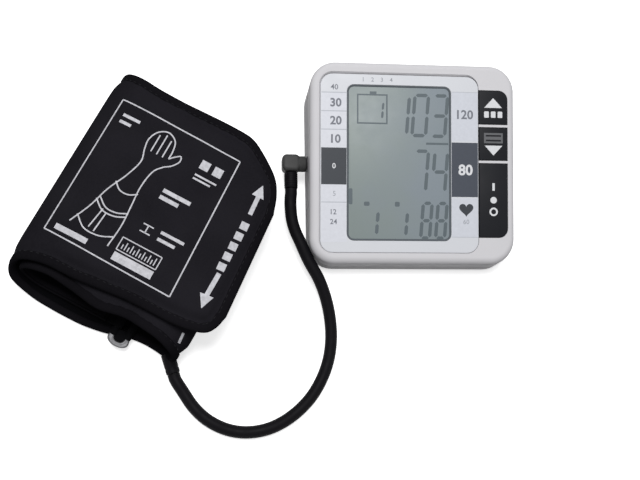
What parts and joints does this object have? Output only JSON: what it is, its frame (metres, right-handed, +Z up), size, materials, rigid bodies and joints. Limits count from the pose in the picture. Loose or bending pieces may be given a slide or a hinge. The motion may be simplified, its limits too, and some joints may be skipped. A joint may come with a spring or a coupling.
{
  "type": "blood pressure monitor",
  "caption": "Wedge-shaped automatic upper-arm blood pressure monitor with a tilted display, side keys, an elbow plug on an air hose and a wound fabric cuff with a pull-through ring.",
  "frame": {"origin": "on the table under the centre of the monitor and cuff together, the loose hose and its plug left out", "axes": "+X to the monitor's right as the user faces the display, +Y to the back of the monitor, +Z up; the cuff lies on the -X side"},
  "size_m": [0.3256, 0.2407, 0.047],
  "materials": {
    "shell": "satin light grey",
    "underside": "fine matt grain",
    "plate": "smooth satin, printed from behind",
    "window": "clear gloss over a grey display",
    "display": "grey liquid crystal panel",
    "key": "satin black",
    "dark_plastic": "matt",
    "white_plastic": "matt",
    "board": "lacquered board",
    "chip": "matt black",
    "steel": "bright zinc",
    "ring_steel": "polished steel wire",
    "nickel": "nickel plated",
    "cell": "plain sleeve",
    "rubber": "matt",
    "silicone": "soft matt",
    "elbow": "matt dark grey",
    "hose": "smooth black, soft sheen",
    "cloth": "fine woven nylon",
    "lining": "brushed loop pile",
    "bladder": "smooth coated film"
  },
  "bodies": {
    "monitor": {"upper_shell": "shell", "lower_shell": "underside", "foot_1": "rubber", "foot_2": "rubber", "foot_3": "rubber", "foot_4": "rubber", "case_screw_1": "steel", "case_screw_2": "steel", "case_screw_3": "steel", "case_screw_4": "steel", "face_plate": "plate", "display_window": "window", "display_panel": "display", "display_tray": "white_plastic", "display_connector": "silicone", "circuit_board": "board", "board_screw_1": "steel", "board_screw_2": "steel", "microcontroller": "chip", "buzzer": "chip", "pressure_sensor": "white_plastic", "switch_start_stop": "chip", "switch_down": "chip", "switch_up": "chip", "battery_1": "cell", "battery_2": "cell", "battery_3": "cell", "battery_4": "cell", "contact_front_left": "nickel", "contact_front_right": "nickel", "contact_back_left": "nickel", "contact_back_middle": "nickel", "contact_back_right": "nickel", "air_socket": "dark_plastic", "air_manifold": "white_plastic", "pump_motor": "steel", "pump_head": "dark_plastic", "pump_cradle": "rubber", "release_valve": "steel", "tube_to_pump": "silicone", "tube_to_valve": "silicone", "tube_to_sensor": "silicone"},
    "start_stop_button": {"key_start_stop": "key"},
    "down_button": {"key_down": "key"},
    "up_button": {"key_up": "key"},
    "door": {"battery_door": "underside"},
    "cuff_set": {"elbow_plug": "elbow", "plug_collar": "hose", "air_hose": "hose", "hose_boot": "rubber", "cuff_outer_cloth": "cloth", "cuff_lining": "lining", "cuff_bladder": "bladder", "cuff_binding": "cloth", "hook_patch": "lining", "loop_patch": "lining", "ring_tab": "cloth"},
    "ring": {"pull_ring": "ring_steel"}
  },
  "joints": [
    {"name": "start_stop_press", "type": "slide", "parent": "monitor", "child": "start_stop_button", "axis": [0, 0.1668, -0.986], "range_m": [0, 0.0008], "stiffness_N_per_m": 400},
    {"name": "down_press", "type": "slide", "parent": "monitor", "child": "down_button", "axis": [0, 0.1668, -0.986], "range_m": [0, 0.0008], "stiffness_N_per_m": 400},
    {"name": "up_press", "type": "slide", "parent": "monitor", "child": "up_button", "axis": [0, 0.1668, -0.986], "range_m": [0, 0.0008], "stiffness_N_per_m": 400},
    {"name": "door_slide", "type": "slide", "parent": "monitor", "child": "door", "axis": [0, 1, 0], "range_m": [0, 0.066]},
    {"name": "plug_pull", "type": "slide", "parent": "monitor", "child": "cuff_set", "axis": [-1, 0, 0], "range_m": [0, 0.03]},
    {"name": "ring_swing", "type": "hinge", "parent": "cuff_set", "child": "ring", "pos_m": [-0.06493, -0.01101, 0.0094], "axis": [-0.4772, -0.8788, 0], "range_deg": [0, 140]}
  ]
}
